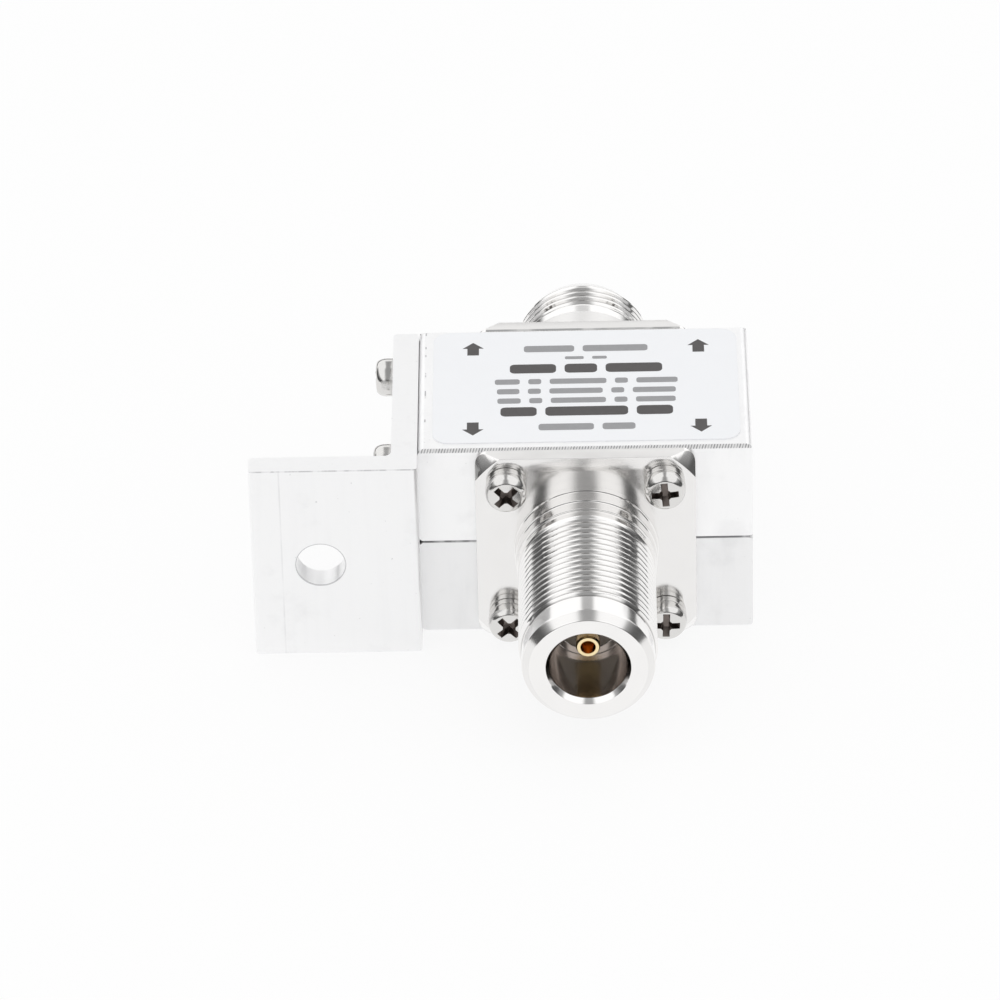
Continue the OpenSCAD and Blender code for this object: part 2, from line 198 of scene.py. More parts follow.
def addTicks(tree):
    s = chamferTicks
    x, y, z = addParts(tree)
    high = addMath(tree, "GREATER_THAN", z, topZ - s["band"])
    front = addMath(tree, "LESS_THAN", y, frontY + s["band"])
    rear = addMath(tree, "GREATER_THAN", y, rearY - s["band"])
    mask = addProduct(tree, high, addMath(tree, "MAXIMUM", front, rear))
    along = addMath(tree, "SUBTRACT", x, addProduct(tree, z, s["lean"]))
    wave = addMath(tree, "SINE", addProduct(tree, along, 2 * math.pi / s["pitch"]))
    uneven = addProduct(tree, addNoise(tree, (1, 0, 0), s["unevenScale"], 2.0), s["uneven"])
    shade = addRange(tree, addMath(tree, "ADD", wave, uneven), s["limits"])
    return mask, addMix(tree, shade, s["dark"], s["light"])


# painted shade: a dark line in the seam between the housing halves, standing in for the shade in the
# gap, broken where the edges touch
seamShade = {
    "half": (0.10 * mm, 0.17 * mm), "breakScale": 260.0, "breakLimits": (0.36, 0.48),
    "breakLevels": (0.25, 1.0), "shade": (0.36, 0.36, 0.37),
}


def addSeamShade(tree):
    s = seamShade
    line = addRange(tree, addAway(tree, addParts(tree)["Z"], seamZ), s["half"], fadeOff)
    breaks = addNoise(tree, (1, 1, 0), s["breakScale"])
    broken = addRange(tree, breaks, s["breakLimits"], s["breakLevels"])
    return addProduct(tree, line, broken), s["shade"]


# small dark specks, left by handling
speckForm = {"scale": 1500.0, "limits": (0.71, 0.77), "share": 0.35, "shade": (0.42, 0.42, 0.43)}


def addSpecks(tree):
    s = speckForm
    spots = addNoise(tree, evenly, s["scale"], 2.0, 0.6)
    return addRange(tree, spots, s["limits"], (0.0, s["share"])), s["shade"]


# short dark dashes on the top, beside the edge over the bracket
edgeDashes = {
    "away": 0.85 * mm, "half": (0.04 * mm, 0.11 * mm), "share": 0.8, "breakScale": 520.0,
    "breakLimits": (0.52, 0.60), "shade": (0.40, 0.40, 0.41),
}


def addEdgeDashes(tree):
    s = edgeDashes
    place = addParts(tree)
    away = addAway(tree, place["X"], housingLow.x + s["away"])
    line = addRange(tree, away, s["half"], (s["share"], 0.0))
    high = addMath(tree, "GREATER_THAN", place["Z"], topZ - s["half"][1])
    broken = addRange(tree, addNoise(tree, (0, 1, 0), s["breakScale"]), s["breakLimits"])
    return addProduct(tree, line, high, broken), s["shade"]


# bracket: a dark line of wear and painted shade at a burr along the top of its front face, a rim round
# the hole and one drawn line
bracketLines = {
    "burrWearAndShade": (0.04 * mm, 0.14 * mm), "burrScale": 700.0, "burrLimits": (0.40, 0.56),
    "burrLevels": (0.15, 0.6), "rim": (2.9 * mm, 3.0 * mm), "rimShare": 0.6,
    "lineX": -35.2 * mm, "lineHalf": (0.03 * mm, 0.14 * mm), "lineShare": 0.18,
    "lineScale": 160.0, "lineLimits": (0.35, 0.6), "lineLevels": (0.2, 1.0),
    "shade": (0.38, 0.38, 0.39),
}


def addBracketLines(tree):
    s = bracketLines
    x, y, z = addParts(tree)
    face = addMath(tree, "LESS_THAN", y, bracketLow.y + s["burrWearAndShade"][1])
    depth = addMath(tree, "SUBTRACT", bracketHigh.z, z)
    uneven = addNoise(tree, (1, 0, 0), s["burrScale"], 2.0)
    burrWearAndShade = addProduct(tree, addRange(tree, depth, s["burrWearAndShade"], fadeOff),
                      addRange(tree, uneven, s["burrLimits"], s["burrLevels"]))
    radius = addRadius(tree, bracketHole[0], bracketHole[2])
    rim = addRange(tree, radius, s["rim"], (s["rimShare"], 0.0))
    away = addAway(tree, x, s["lineX"])
    faint = addNoise(tree, (0, 0, 1), s["lineScale"])
    line = addProduct(tree, addRange(tree, away, s["lineHalf"], (s["lineShare"], 0.0)),
                      addRange(tree, faint, s["lineLimits"], s["lineLevels"]))
    drawn = addMath(tree, "MAXIMUM", addMath(tree, "MAXIMUM", burrWearAndShade, rim), line)
    return addProduct(tree, drawn, face), s["shade"]


# painted shade: a dark line on the equipment flange's rim next to the housing, standing in for the
# shade in the gap between them
flangeGapShade = {
    "depth": (0.3 * mm, 0.45 * mm), "breakScale": 300.0, "breakLimits": (0.36, 0.5),
    "breakLevels": (0.5, 1.0), "shade": (0.40, 0.40, 0.40),
}


def addFlangeGapShade(tree):
    s = flangeGapShade
    y = addParts(tree)["Y"]
    breaks = addNoise(tree, (1, 0, 1), s["breakScale"], 2.0)
    broken = addRange(tree, breaks, s["breakLimits"], s["breakLevels"])
    gap = addRange(tree, y, [rearY + d for d in s["depth"]], fadeOff)
    behind = addMath(tree, "GREATER_THAN", y, rearY)
    return addProduct(tree, gap, broken, behind), s["shade"]


# plated and turned metal, with fine rings round the coaxial line
plateForm = {
    "cloudScale": 320.0, "cloudLimits": (0.3, 0.7), "cloudTint": 0.93,
    "ringScale": 9000.0, "ringDepth": 0.004 * mm, "grainScale": 12000.0, "grainDepth": 0.01 * mm,
}
# painted shade: the film colour darkens the thread valleys towards their roots, with some dirt there
# too
threadValleyShade = {"radii": (7.44 * mm, 7.74 * mm), "film": (0.30, 0.295, 0.29)}
# painted shade: the film colour darkens the gold inside the contact's pin hole
pinHoleShade = {"radii": (0.88 * mm, 0.95 * mm), "film": (0.86, 0.56, 0.26)}


def makePlate(name, colour, rough, rings=0.0, grain=0.0, valley=None, details=()):
    s = plateForm
    mat, tree, shader = startMaterial(name, {"Metallic": 1.0})
    cloud = addNoise(tree, evenly, s["cloudScale"])
    plate = addMix(tree, cloud, [c * s["cloudTint"] for c in colour], colour)
    # colour darker towards the axis: painted shade in valleys and holes
    if valley:
        crest = addRange(tree, addRadius(tree, 0.0, axisZ), valley["radii"])
        plate = addMix(tree, crest, valley["film"], plate)
    for addDetail in details:
        mask, shade = addDetail(tree)
        plate = addMix(tree, mask, plate, shade)
    tree.links.new(plate, shader.inputs["Base Color"])
    tree.links.new(addRange(tree, cloud, s["cloudLimits"], rough), shader.inputs["Roughness"])
    ringed = None
    if rings:
        height = addNoise(tree, (0, 1, 0), s["ringScale"], 2.0)
        ringed = addBump(tree, shader, height, rings, s["ringDepth"])
    if grain:
        height = addNoise(tree, evenly, s["grainScale"], 2.0)
        addBump(tree, shader, height, grain, s["grainDepth"], ringed)
    return mat


# plain pieces with a light mottle
mottleForm = {"grainRatio": 20, "grainDepth": 0.01 * mm}


def makeMottled(name, light, dark, scale, rough, bump=0.1):
    s = mottleForm
    mat, tree, shader = startMaterial(name, {"Roughness": rough})
    cloud = addNoise(tree, evenly, scale, 4.0, 0.6)
    tree.links.new(addMix(tree, cloud, dark, light), shader.inputs["Base Color"])
    addBump(tree, shader, addNoise(tree, evenly, scale * s["grainRatio"]), bump, s["grainDepth"])
    return mat


finish = {
    # both housing halves carry the painted shade line in the seam
    "upper": makeSatinAluminium("upperSatin", (6, 6, 1), 0.3, 1.012,
                                (addSpecks, addSeamShade, addEdgeDashes, addTicks)),
    "lower": makeSatinAluminium("lowerSatin", (6, 6, 1), 0.45, 0.92, (addSpecks, addSeamShade)),
    "bracket": makeSatinAluminium("bracketSatin", (14, 14, 0.6), 0.15, 0.98,
                                  (addSpecks, addBracketLines)),
    "satinNickel": makePlate("satinNickel", (0.885, 0.875, 0.865), (0.13, 0.17), grain=0.08),
    "brightNickel": makePlate("brightNickel", (0.94, 0.93, 0.92), (0.10, 0.16), rings=0.2),
    # the cut-edge nickel also carries the painted shade of the flange gap
    "edgeNickel": makePlate("edgeNickel", (0.92, 0.91, 0.90), (0.40, 0.48), grain=0.1,
                            details=(addFlangeGapShade,)),
    # thread nickel with painted shade, and some dirt, in its valleys
    "threadNickel": makePlate("threadNickel", (0.94, 0.93, 0.92), (0.08, 0.14), valley=threadValleyShade),
    "boreNickel": makePlate("boreNickel", (0.62, 0.575, 0.545), (0.13, 0.19), rings=0.2),
    # painted shade: a dark colour for the faces inside the screw recesses, with some darker plating
    # there
    "recessSteelAndShade": makePlate("recessSteelAndShade", (0.22, 0.19, 0.175), (0.32, 0.45), grain=0.15),
    "screwSteel": makePlate("screwSteel", (0.76, 0.75, 0.735), (0.10, 0.18), grain=0.10),
    # gold with a darker painted shade inside the pin hole
    "gold": makePlate("goldPlate", (0.98, 0.81, 0.50), (0.14, 0.24), rings=0.15, valley=pinHoleShade),
    "brass": makePlate("machinedBrass", (0.83, 0.63, 0.30), (0.22, 0.34), rings=0.3),
    "electrode": makePlate("tubeElectrode", (0.74, 0.73, 0.72), (0.2, 0.3), rings=0.2),
    "insulator": makeMottled("whiteInsulator", (0.90, 0.89, 0.86), (0.84, 0.83, 0.79), 600.0, 0.45),
    "ceramic": makeMottled("tubeCeramic", (0.88, 0.86, 0.81), (0.80, 0.78, 0.73), 900.0, 0.6),
    "film": makeMottled("labelFilm", (0.895, 0.905, 0.925), (0.87, 0.88, 0.90), 300.0, 0.42, 0.04),
    "inkDark": makeMottled("darkInk", (0.085, 0.08, 0.08), (0.06, 0.055, 0.055), 1500.0, 0.5),
    "inkGrey": makeMottled("greyInk", (0.34, 0.34, 0.35), (0.28, 0.28, 0.29), 1500.0, 0.5),
}
print("finishes made:", len(finish))

# small tools for meshes, in millimetres until a piece is placed
meshForm = {"mergeGap": 1e-5, "upright": 0.99, "sharpAngle": 20, "screwSpacing": 18.26}


def addProfile(bm, points, closed):
    verts = [bm.verts.new((r, 0, z)) for r, z in points]
    pairs = list(zip(verts, verts[1:]))
    if closed:
        pairs.append((verts[-1], verts[0]))
    return verts + [bm.edges.new(p) for p in pairs]


def turnProfile(points, segments, closed=False):
    bm = bmesh.new()
    geom = addProfile(bm, points, closed)
    bmesh.ops.spin(bm, geom=geom, cent=(0, 0, 0), axis=(0, 0, 1), dvec=(0, 0, 0),
                   angle=2 * math.pi, steps=segments, use_merge=True, use_duplicate=False,
                   use_normal_flip=False, space=noMove)
    bmesh.ops.remove_doubles(bm, verts=bm.verts, dist=meshForm["mergeGap"])
    bmesh.ops.recalc_face_normals(bm, faces=bm.faces)
    return bm


# open turn that climbs along the axis
def turnRising(bm, geom, angle, steps, rise):
    bmesh.ops.spin(bm, geom=geom, cent=(0, 0, 0), axis=(0, 0, 1), dvec=(0, 0, rise / steps),
                   angle=angle, steps=steps, use_merge=False, use_duplicate=False,
                   use_normal_flip=False, space=noMove)


def roundEdges(bm, width, minAngle):
    sharp = [e for e in bm.edges if e.is_manifold and e.calc_face_angle(0) > math.radians(minAngle)]
    bmesh.ops.bevel(bm, geom=sharp, offset=width, offset_type="OFFSET", segments=2, profile=0.5,
                    affect="EDGES", material=-1, clamp_overlap=True)
    return bm


def roundUpright(bm, width, segments):
    upright = [e for e in bm.edges
               if abs((e.verts[0].co - e.verts[1].co).normalized().z) > meshForm["upright"]]
    bmesh.ops.bevel(bm, geom=upright, offset=width, offset_type="OFFSET", segments=segments,
                    profile=0.5, affect="EDGES", material=-1)


def makeBox(size, centre):
    bm = bmesh.new()
    bmesh.ops.create_cube(bm, size=1,
                          matrix=Matrix.Translation(centre) @ Matrix.Diagonal((*size, 1)))
    return bm


def asObject(bm, name):
    mesh = bpy.data.meshes.new(name)
    bm.to_mesh(mesh)
    bm.free()
    piece = bpy.data.objects.new(name, mesh)
    bpy.context.collection.objects.link(piece)
    return piece


def cutAway(bm, cutters):
    body = asObject(bm, "cutBody")
    tools = [asObject(c, "cutTool") for c in cutters]
    for tool in tools:
        cut = body.modifiers.new("cut", "BOOLEAN")
        cut.object = tool
        cut.operation = "DIFFERENCE"
        cut.solver = "EXACT"
    bpy.context.view_layer.update()
    shaped = body.evaluated_get(bpy.context.evaluated_depsgraph_get())
    result = bmesh.new()
    result.from_mesh(shaped.to_mesh())
    shaped.to_mesh_clear()
    for spare in [body] + tools:
        bpy.data.objects.remove(spare)
    return result


def addCopy(target, source, matrix):
    mesh = bpy.data.meshes.new("copy")
    source.to_mesh(mesh)
    mesh.transform(matrix)
    target.from_mesh(mesh)
    bpy.data.meshes.remove(mesh)


def screwSquare():
    half = meshForm["screwSpacing"] / 2
    return [(-half, half), (half, half), (-half, -half), (half, -half)]


def copyOnSquare(source, turns):
    copies = bmesh.new()
    for (x, y), turn in zip(screwSquare(), turns):
        turned = Matrix.Rotation(math.radians(turn), 4, "Z")
        addCopy(copies, source, Matrix.Translation((x, y, 0)) @ turned)
    source.free()
    return copies


def placePiece(bm, name, place, mats, slot, *replaced):
    bm.transform(place @ Matrix.Scale(mm, 4))
    piece = asObject(bm, name)
    for mat in mats:
        piece.data.materials.append(mat)
    piece.data.polygons.foreach_set("use_smooth", [True] * len(piece.data.polygons))
    piece.data.set_sharp_from_angle(angle=math.radians(meshForm["sharpAngle"]))
    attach(piece, "root")
    if replaced:
        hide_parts(*replaced)
    return piece


# camera at the photograph's place
cameraFit = {
    "position": (0.249, -730.24, 501.55), "tilt": 33.952, "yaw": -0.810, "roll": -1.4296,
    "focalPixels": 7485.8, "imagePixels": 1000, "sensor": 36.0, "clip": (0.05, 20),
}


def makeCamera():
    s = cameraFit
    tilt, yaw, roll = [math.radians(s[k]) for k in ("tilt", "yaw", "roll")]
    forward = Vector((math.sin(yaw) * math.cos(tilt), math.cos(yaw) * math.cos(tilt),
                      -math.sin(tilt)))
    level = Vector((math.cos(yaw), -math.sin(yaw), 0))
    upright = level.cross(forward)
    right = math.cos(roll) * level + math.sin(roll) * upright
    up = -math.sin(roll) * level + math.cos(roll) * upright
    data = bpy.data.cameras.new("camera")
    data.sensor_width = s["sensor"]
    data.lens = s["focalPixels"] * s["sensor"] / s["imagePixels"]
    data.clip_start, data.clip_end = s["clip"]
    camera = bpy.data.objects.new("camera", data)
    bpy.context.collection.objects.link(camera)
    turn = Matrix((right, up, -forward)).transposed()
    camera.matrix_world = Matrix.Translation(Vector(s["position"]) * mm) @ turn.to_4x4()
    bpy.context.scene.camera = camera


makeCamera()
print("camera set")

# jacks: a flange, a turned barrel with a stepped bore, and a helical thread
jackForm = {
    "rootRingR": 8.4, "rootRing": 2.35, "collarR": 8.27, "shoulderR": 8.13, "bandR": 7.88,
    "threadR": 7.9375, "rootR": 7.42, "noseR": 7.6, "lipR": 6.65, "boreR": 4.42,
    "mouth": 0.48, "mouthDeep": 0.66, "socketDepth": 9.1, "neckLen": 4.5, "neckR": 3.55,
    "seatR": 4.05, "spigotR": 5.5, "endWall": 3.0, "lift": 0.01, "bandSlope": 0.2,
    "noseSlope": 0.1, "segments": 144, "edgeRound": 0.07, "roundFrom": 20, "support": 0.15,
    "lookGap": 0.1, "boreGap": 0.02,
}
jackLengths = {  # from the housing's face to the end of each step
    "antenna": {"collar": 4.2, "shoulder": 5.7, "band": 7.0, "thread": 22.5, "nose": 25.2,
                "reach": 26.1, "finish": "brightNickel"},
    "equipment": {"collar": 10.9, "shoulder": 12.4, "band": 13.2, "thread": 17.3, "nose": 17.6,
                  "reach": 19.6, "finish": "edgeNickel"},
}
jackFinishes = ["satinNickel", "brightNickel", "boreNickel", "edgeNickel", "threadNickel"]
flangeForm = {
    "thick": 1.9, "wide": 25.4, "high": 25.1, "cornerR": 1.5, "cornerSegments": 10,
    "cornerCut": 2.9, "cornerSlope": 40, "past": 1.0, "screwHoleR": 1.65, "holeSegments": 48,
    "holeDepth": 10, "edgeRound": 0.04, "roundFrom": 35,
    "rimShare": 0.45, "flatUp": 0.95, "coneUp": 0.5, "cornerTurn": 0.15,
}
threadForm = {
    "pitch": 25.4 / 24, "stepsPerTurn": 96, "inset": 0.05, "sink": 0.03, "footHalf": 0.42,
    "crestDrop": 0.05, "flankHalf": 0.155, "crestHalf": 0.085, "fadeIn": 0.4, "fadeOut": 0.35,
    "fadeSink": 0.05,
}


def makeCornerCone():
    s = flangeForm
    turnR = math.hypot(s["wide"] / 2, s["high"] / 2 - s["cornerCut"])
    slope = math.tan(math.radians(s["cornerSlope"]))
    low, high = -s["past"], s["thick"] + s["past"]
    outside = 2 * s["wide"]
    return turnProfile([(turnR + high * slope, low), (outside, low), (outside, high),
                        (turnR - s["past"] * slope, high)], jackForm["segments"], True)


def makeFlange():
    s = flangeForm
    bm = makeBox((s["wide"], s["high"], s["thick"]), (0, 0, s["thick"] / 2))
    roundUpright(bm, s["cornerR"], s["cornerSegments"])
    cuts = [makeCornerCone()]
    for x, y in screwSquare() + [(0, 0)]:
        hole = bmesh.new()
        radius = s["screwHoleR"] if x else jackForm["spigotR"]
        bmesh.ops.create_cone(hole, cap_ends=True, segments=s["holeSegments"], radius1=radius,
                              radius2=radius, depth=s["holeDepth"],
                              matrix=Matrix.Translation((x, y, 0)))
        cuts.append(hole)
    bm = roundEdges(cutAway(bm, cuts), s["edgeRound"], s["roundFrom"])
    for face in bm.faces:  # the rim: bright where it is turned, matt where it is cut
        across, along, up = [abs(n) for n in face.normal]
        outside = face.calc_center_median().xy.length > s["high"] * s["rimShare"]
        if outside and up < s["flatUp"]:
            turned = up > s["coneUp"] or min(across, along) > s["cornerTurn"]
            face.material_index = jackFinishes.index("brightNickel" if turned else "edgeNickel")
    return bm


# a profile with extra points beside its corners, so that long faces shade flat
def addSupports(points, gap):
    full = []
    for a, b in zip(points, points[1:] + points[:1]):
        full.append(a)
        length = math.dist(a, b)
        if length > 4 * gap:
            for share in (gap / length, 1 - gap / length):
                full.append((a[0] + (b[0] - a[0]) * share, a[1] + (b[1] - a[1]) * share))
    return full


def makeBarrel(steps):
    s = jackForm
    reach = steps["reach"]
    socketEnd = reach - s["socketDepth"]
    seatEnd = socketEnd - s["neckLen"]
    profile = [
        (s["seatR"], -s["endWall"]), (s["spigotR"], -s["endWall"]),
        (s["spigotR"], s["lift"]), (s["rootRingR"], s["lift"]),
        (s["rootRingR"], s["rootRing"]), (s["collarR"], s["rootRing"]),
        (s["collarR"], steps["collar"]), (s["shoulderR"], steps["collar"]),
        (s["shoulderR"], steps["shoulder"]), (s["bandR"], steps["shoulder"]),
        (s["bandR"], steps["band"] - s["bandSlope"]), (s["rootR"], steps["band"] + s["bandSlope"]),
        (s["rootR"], steps["thread"] - s["noseSlope"]), (s["noseR"], steps["thread"]),
        (s["noseR"], steps["nose"]), (s["lipR"], reach),
        (s["boreR"] + s["mouth"], reach), (s["boreR"], reach - s["mouthDeep"]),
        (s["boreR"], socketEnd), (s["neckR"], socketEnd),
        (s["neckR"], seatEnd), (s["seatR"], seatEnd),
    ]
    bm = turnProfile(addSupports(profile, s["support"]), s["segments"], True)
    roundEdges(bm, s["edgeRound"], s["roundFrom"])
    gap = s["lookGap"]
    for face in bm.faces:
        centre = face.calc_center_median()
        radius = centre.xy.length
        look = "brightNickel"
        if radius < s["boreR"] + s["boreGap"]:
            look = "boreNickel"
        elif centre.z < steps["collar"] - gap:
            look = steps["finish"]
        elif steps["nose"] + gap < centre.z < reach - gap and radius > s["lipR"]:
            look = "satinNickel"
        elif radius < s["rootR"] + gap and centre.z < steps["thread"]:
            look = "threadNickel"
        face.material_index = jackFinishes.index(look)
    return bm


def makeThread(start, end):
    s = threadForm
    rootR, crestR = jackForm["rootR"], jackForm["threadR"]
    run = end - start - 2 * s["inset"]
    turns = run / s["pitch"]
    flank = [(rootR - s["sink"], s["footHalf"]), (crestR - s["crestDrop"], s["flankHalf"]),
             (crestR, s["crestHalf"])]
    ridge = [(r, -z) for r, z in flank] + flank[::-1]
    bm = bmesh.new()
    geom = addProfile(bm, [(r, start + s["inset"] + z) for r, z in ridge], False)
    turnRising(bm, geom, 2 * math.pi * turns, round(turns * s["stepsPerTurn"]), run)
    for vert in bm.verts:  # both ends of the ridge fade into the barrel
        ends = (vert.co.z - start) / s["fadeIn"], (end - vert.co.z) / s["fadeOut"]
        rise = max(min(*ends, 1.0), 0.0)
        height = vert.co.xy.length - rootR
        if height > 0 and rise < 1:
            radius = rootR + height * rise - s["fadeSink"] * (1 - rise)
            vert.co.xy *= radius / vert.co.xy.length
    bmesh.ops.recalc_face_normals(bm, faces=bm.faces)
    outward = sum(1 for f in bm.faces if f.normal.xy.dot(f.calc_center_median().xy) > 0)
    if outward * 2 < len(bm.faces):
        bmesh.ops.reverse_faces(bm, faces=bm.faces)
    for face in bm.faces:
        face.material_index = jackFinishes.index("threadNickel")
    return bm


def makeJack(side, place):
    steps = jackLengths[side]
    jack = bmesh.new()
    for part in (makeFlange(), makeBarrel(steps), makeThread(steps["band"], steps["thread"])):
        addCopy(jack, part, noMove)
        part.free()
    placePiece(jack, side + "Jack", place, [finish[look] for look in jackFinishes], "plated_brass",
               side + "_jack")


makeJack("antenna", antennaFace)
makeJack("equipment", equipmentFace)
print("jacks turned and threaded")

# pan head screws with a crown and a tapered cross recess
screwForm = {
    "shankR": 1.42, "depth": 6.0, "point": 0.35, "segments": 64, "underEdge": 0.1,
    "sideShare": 0.38, "flatShare": 0.68, "domeStep": 10, "crown": 0.12, "crownSteps": 4,
    "recessLen": 3.3, "recessW": 0.8, "recessDepth": 1.25, "recessTaper": 0.45, "recessLip": 0.3,
    "recessHeart": 1.5, "edgeRound": 0.045, "roundFrom": 40, "turns": (45, 4, 42, 88),
}
screwSets = [  # name, place, head radius, head height, height of the seat, node
    ("antennaFlangeScrews", antennaFace, 2.4, 1.9, 2.9, "antenna_flange_screws"),
    ("equipmentFlangeScrews", equipmentFace, 2.4, 1.5, 1.9, "equipment_flange_screws"),
    ("bracketScrews", bracketSide, 2.25, 2.2, 3.0, "bracket_screws"),
]


def makeHead(headR, headH, seat):
    s = screwForm
    side = headH * s["sideShare"]
    rise = headH - s["crown"] - side
    flat = headR * s["flatShare"]
    angles = [math.radians(d) for d in range(0, 91, s["domeStep"])]
    dome = [(flat + (headR - flat) * math.cos(a), seat + side + rise * math.sin(a)) for a in angles]
    shares = [1 - k / s["crownSteps"] for k in range(1, s["crownSteps"] + 1)]
    crown = [(flat * c, seat + headH - s["crown"] * c ** 2) for c in shares]
    under = [(headR - s["underEdge"], seat), (headR, seat + s["underEdge"])]
    return under + dome + crown


def makeRecess(top):
    s = screwForm
    wings = []
    shapes = [(s["recessLen"], s["recessW"], 0), (s["recessLen"], s["recessW"], math.pi / 2),
              (s["recessHeart"], s["recessHeart"], math.pi / 4)]
    for length, width, turn in shapes:
        wing = makeBox((length, width, s["recessDepth"] * 2), (0, 0, 0))
        for vert in wing.verts:
            way = -1 if vert.co.z < 0 else 1
            vert.co.x *= 1 + way * s["recessTaper"]
            vert.co.y *= 1 + way * s["recessTaper"] / 2
        wing.transform(Matrix.Translation((0, 0, top)) @ Matrix.Rotation(turn, 4, "Z"))
        wings.append(wing)
    return wings


def makeScrew(headR, headH, seat):
    s = screwForm
    shank = [(0, -s["depth"]), (s["shankR"] - s["point"], -s["depth"]),
             (s["shankR"], -s["depth"] + s["point"]), (s["shankR"], seat)]
    bm = turnProfile(shank + makeHead(headR, headH, seat), s["segments"])
    bm = roundEdges(cutAway(bm, makeRecess(seat + headH)), s["edgeRound"], s["roundFrom"])
    # the faces inside the recess get the dark painted-shade colour
    for face in bm.faces:  # inside of the recess
        centre = face.calc_center_median()
        deep = seat < centre.z < seat + headH - s["recessLip"]
        if deep and centre.xy.length < s["recessLen"] / 2:
            face.material_index = 1
    return bm


def makeScrews():
    for name, place, headR, headH, seat, node in screwSets:
        screws = copyOnSquare(makeScrew(headR, headH, seat), screwForm["turns"])
        placePiece(screws, name, place, [finish["screwSteel"], finish["recessSteelAndShade"]],
                   "screw_steel", node)


makeScrews()
print("screws made")

# split lock washers, sprung a little open
washerForm = {
    "innerR": 1.47, "outerR": 2.35, "section": 0.84, "spring": 0.16, "gap": 14, "steps": 60,
    "edgeRound": 0.06, "roundFrom": 40, "turns": (200, 260, 310, 240),
}


def makeWasher():
    s = washerForm
    bm = bmesh.new()
    low = flangeForm["thick"]
    high = low + s["section"]
    corners = [(s["innerR"], low), (s["outerR"], low), (s["outerR"], high), (s["innerR"], high)]
    face = bm.faces.new([bm.verts.new((r, 0, z)) for r, z in corners])
    turnRising(bm, [face], math.radians(360 - s["gap"]), s["steps"], s["spring"])
    bmesh.ops.recalc_face_normals(bm, faces=bm.faces)
    return roundEdges(bm, s["edgeRound"], s["roundFrom"])


placePiece(copyOnSquare(makeWasher(), washerForm["turns"]), "antennaLockWashers", antennaFace,
           [finish["screwSteel"]], "screw_steel", "antenna_lock_washers")
print("lock washers made")

# label film with a plain print of arrows and short bars
labelForm = {
    "corner": 2.0, "cornerSegments": 12, "inkT": 0.012, "middleX": 0.3, "arrowX": 13.2,
    "tipY": 9.85, "arrowLen": 2.7, "headLen": 1.25, "headHalf": 1.24, "shaftHalf": 0.68,
    "barGap": 1.0, "barRound": 0.3, "barSegments": 4,
}
labelRows = [  # middle y, bar height, ink, lengths of the bars along the row
    (8.3, 1.35, "inkGrey", (5.9, 7.6)),
    (6.3, 0.6, "inkGrey", (2.2, 1.7)),
    (4.05, 1.9, "inkDark", (5.4, 3.8, 6.6)),
    (1.3, 1.1, "inkGrey", (2.9, 1.5, 6.6, 1.5, 4.8)),
    (-0.75, 1.1, "inkGrey", (2.6, 1.5, 6.2, 1.5, 5.0)),
    (-2.75, 1.1, "inkGrey", (2.7, 1.5, 6.4, 1.5, 4.6)),
    (-5.05, 1.9, "inkDark", (4.2, 9.6, 4.2)),
    (-8.35, 1.35, "inkGrey", (6.4, 3.8)),
]
labelInks = ["inkDark", "inkGrey"]


def makeLabel():
    s = labelForm
    low, high = [Vector(c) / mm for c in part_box("label")]
    size = high - low
    size.z -= s["inkT"]
    bm = makeBox(size, (low + high) / 2 - Vector((0, 0, s["inkT"] / 2)))
    roundUpright(bm, s["corner"], s["cornerSegments"])
    placePiece(bm, "label", noMove, [finish["film"]], "label_film", "label")
    return high.z


def addArrow(bm, x, tipY, way, top):
    s = labelForm
    neck = tipY - way * s["headLen"]
    tail = tipY - way * s["arrowLen"]
    outline = [(0, tipY), (s["headHalf"], neck), (s["shaftHalf"], neck), (s["shaftHalf"], tail),
               (-s["shaftHalf"], tail), (-s["shaftHalf"], neck), (-s["headHalf"], neck)]
    face = bm.faces.new([bm.verts.new((x + dx, y, top - s["inkT"])) for dx, y in outline])
    raised = bmesh.ops.extrude_face_region(bm, geom=[face])["geom"]
    upper = [v for v in raised if isinstance(v, bmesh.types.BMVert)]
    bmesh.ops.translate(bm, verts=upper, vec=(0, 0, s["inkT"]))


def addBars(bm, row, top):
    s = labelForm
    y, height, ink, lengths = row
    x = s["middleX"] - (sum(lengths) + s["barGap"] * (len(lengths) - 1)) / 2
    for length in lengths:
        bar = makeBox((length, height, s["inkT"]), (x + length / 2, y, top - s["inkT"] / 2))
        roundUpright(bar, height * s["barRound"], s["barSegments"])
        for face in bar.faces:
            face.material_index = labelInks.index(ink)
        addCopy(bm, bar, noMove)
        bar.free()
        x += length + s["barGap"]


def makePrint(top):
    s = labelForm
    bm = bmesh.new()
    for side in (-1, 1):
        for way in (-1, 1):
            addArrow(bm, s["middleX"] + side * s["arrowX"], way * s["tipY"], way, top)
    for row in labelRows:
        addBars(bm, row, top)
    bmesh.ops.recalc_face_normals(bm, faces=bm.faces)
    placePiece(bm, "labelPrint", noMove, [finish[ink] for ink in labelInks], "label_film")


makePrint(makeLabel())
print("label printed")

# finishes of the nodes that keep their own shape
nodeFinish = {
    "upper": ("upper_housing",),
    "lower": ("lower_housing",),
    "bracket": ("mounting_bracket",),
    "gold": ("antenna_contact", "equipment_contact"),
    "insulator": ("antenna_insulator", "equipment_insulator", "capacitor_sheet"),
    "brass": ("antenna_capacitor_plate", "equipment_capacitor_plate", "gas_tube_lead"),
    "ceramic": ("gas_tube_ceramic",),
    "electrode": ("gas_tube_ground_electrode", "gas_tube_line_electrode"),
}
for look, names in nodeFinish.items():
    for name in names:
        for slot in frame["nodes"][name].material_slots:
            slot.material = finish[look]
print("node finishes set")

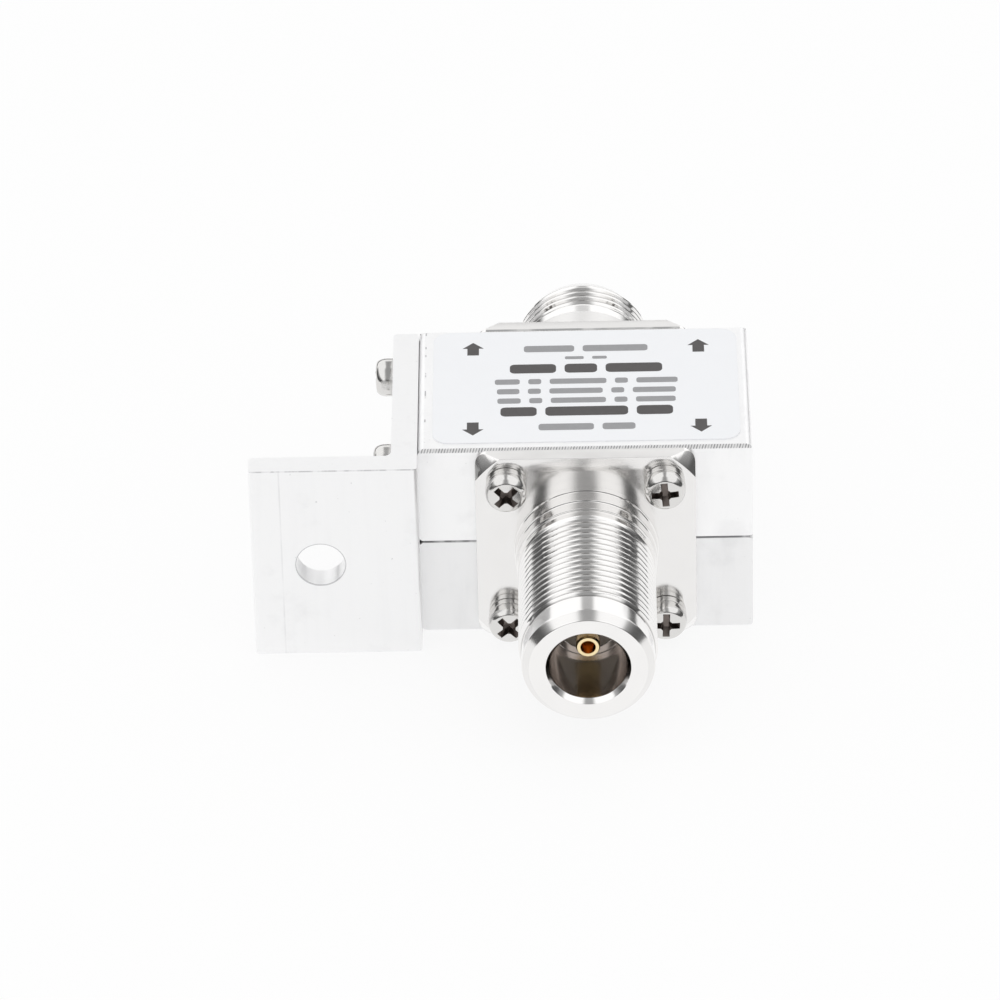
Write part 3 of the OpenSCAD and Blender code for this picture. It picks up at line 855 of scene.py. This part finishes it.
# white floor that keeps the shadow, and a light tent: back wall and side panels with dark gaps between
studio = {
    "floorSize": 0.8, "floorDrop": 0.05 * mm, "floorColour": (0.93, 0.93, 0.93), "floorRough": 0.8,
    "floorGlow": 0.86, "floorMirror": 0.97, "dome": 0.82, "light": 1.13,
    "bandLevel": 0.1, "gapLevel": 0.38, "gapRise": (0.2, 0.45), "gapHalf": (0.1, 0.27),
    "gapBehind": 1.9, "gapTurn": (-0.2, 0.2), "panelRise": (0.12, 0.28), "sideStart": 0.45,
    "sideLift": 0.8, "wallWide": (0.35, 0.6), "wallLow": (0.08, 0.22), "wallHigh": (0.46, 0.6),
}


def seenRays(tree):
    path = addNode(tree, "ShaderNodeLightPath").outputs
    mirrored = addMath(tree, "MAXIMUM", path["Is Glossy Ray"], path["Is Transmission Ray"])
    return path["Is Camera Ray"], mirrored


def makeFloor():
    s = studio
    bm = bmesh.new()
    bmesh.ops.create_grid(bm, x_segments=1, y_segments=1, size=s["floorSize"] / 2,
                          matrix=Matrix.Translation((0, 0, -s["floorDrop"])))
    floor = asObject(bm, "floor")
    mat, tree, shader = startMaterial("floorWhite", {
        "Base Color": (*s["floorColour"], 1), "Roughness": s["floorRough"]})
    glow = addNode(tree, "ShaderNodeEmission", None, {"Color": (1, 1, 1, 1), "Strength": 1.0})
    seen, mirrored = seenRays(tree)
    share = addMath(tree, "MAXIMUM", addProduct(tree, seen, s["floorGlow"]),
                    addProduct(tree, mirrored, s["floorMirror"]))
    mix = addNode(tree, "ShaderNodeMixShader", None, {
        0: share, 1: shader.outputs[0], 2: glow.outputs[0]})
    tree.links.new(mix.outputs[0], tree.nodes["Material Output"].inputs["Surface"])
    floor.data.materials.append(mat)


def makeWorld():
    s = studio
    world = bpy.data.worlds.new("studio")
    bpy.context.scene.world = world
    world.use_nodes = True
    tree = world.node_tree
    x, y, z = addParts(tree, "Generated")
    across = addMath(tree, "ABSOLUTE", x)
    unlit = addRange(tree, z, s["gapRise"], (s["bandLevel"], s["gapLevel"]))
    narrow = addRange(tree, y, s["gapTurn"], (1.0, s["gapBehind"]))
    beside = addMath(tree, "SUBTRACT", across, s["sideStart"], True)
    lifted = addMath(tree, "SUBTRACT", z, addProduct(tree, beside, s["sideLift"]))
    panel = addProduct(tree, addRange(tree, addProduct(tree, across, narrow), s["gapHalf"]),
                       addRange(tree, lifted, s["panelRise"]))
    wall = addProduct(tree, addRange(tree, y, s["wallWide"]), addRange(tree, z, s["wallLow"]),
                      addRange(tree, z, s["wallHigh"], fadeOff))
    tent = addMix(tree, addMath(tree, "MAXIMUM", panel, wall), unlit, (s["light"],) * 3)
    seen, mirrored = seenRays(tree)
    level = addMix(tree, mirrored, (s["dome"],) * 3, tent)
    tree.links.new(addMix(tree, seen, level, (1, 1, 1)), tree.nodes["Background"].inputs["Color"])


# lamps: an overhead softbox and a fill from each side, not seen in the metal
lampAim = Vector((0, 0, 0.012))
lamps = [  # name, place in metres, size in metres, watts
    ("overhead", (0.05, -0.1, 0.9), 0.9, 1.6),
    ("leftFill", (-0.8, -0.5, 0.5), 0.7, 0.5),
    ("rightFill", (0.8, -0.5, 0.5), 0.7, 0.5),
]


def makeLamps():
    for name, place, size, watts in lamps:
        data = bpy.data.lights.new(name, "AREA")
        data.shape = "SQUARE"
        data.size = size
        data.energy = watts
        lamp = bpy.data.objects.new(name, data)
        lamp.visible_glossy = False
        bpy.context.collection.objects.link(lamp)
        turn = (lampAim - Vector(place)).to_track_quat("-Z", "Y").to_matrix()
        lamp.matrix_world = Matrix.Translation(place) @ turn.to_4x4()


makeFloor()
makeWorld()
makeLamps()
bpy.context.scene.view_settings.view_transform = "Standard"
print("studio lit")
